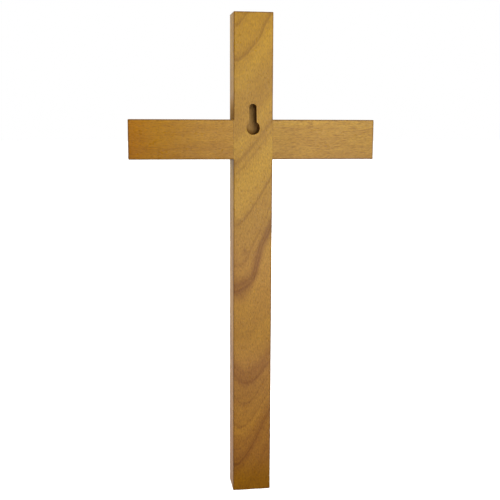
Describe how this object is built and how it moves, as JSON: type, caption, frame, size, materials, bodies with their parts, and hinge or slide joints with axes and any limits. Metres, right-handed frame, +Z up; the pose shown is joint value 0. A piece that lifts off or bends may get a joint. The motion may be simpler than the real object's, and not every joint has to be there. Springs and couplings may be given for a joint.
{
  "type": "wall cross",
  "caption": "Plain Latin cross of flat wooden bars, cross-lapped and glued, with a routed keyhole slot in its back to hang it on a wall screw.",
  "frame": {"origin": "centre of the keyhole's round entry hole, in the plane of the back face that lies on the wall", "axes": "+Z up along the upright, +X along the crossbar, -Y out of the back face into the wall, +Y out of the front"},
  "size_m": [0.153, 0.019, 0.305],
  "materials": {
    "upright_wood": "golden-brown stain under satin lacquer, plain-sawn figure along the bar",
    "crossbar_wood": "golden-brown stain under satin lacquer, straight grain along the bar",
    "wood_glue": "set wood glue, brown under the stain and lacquer"
  },
  "bodies": {
    "root": {"upright": "upright_wood", "crossbar": "crossbar_wood", "lap_glue": "wood_glue"}
  },
  "joints": []
}
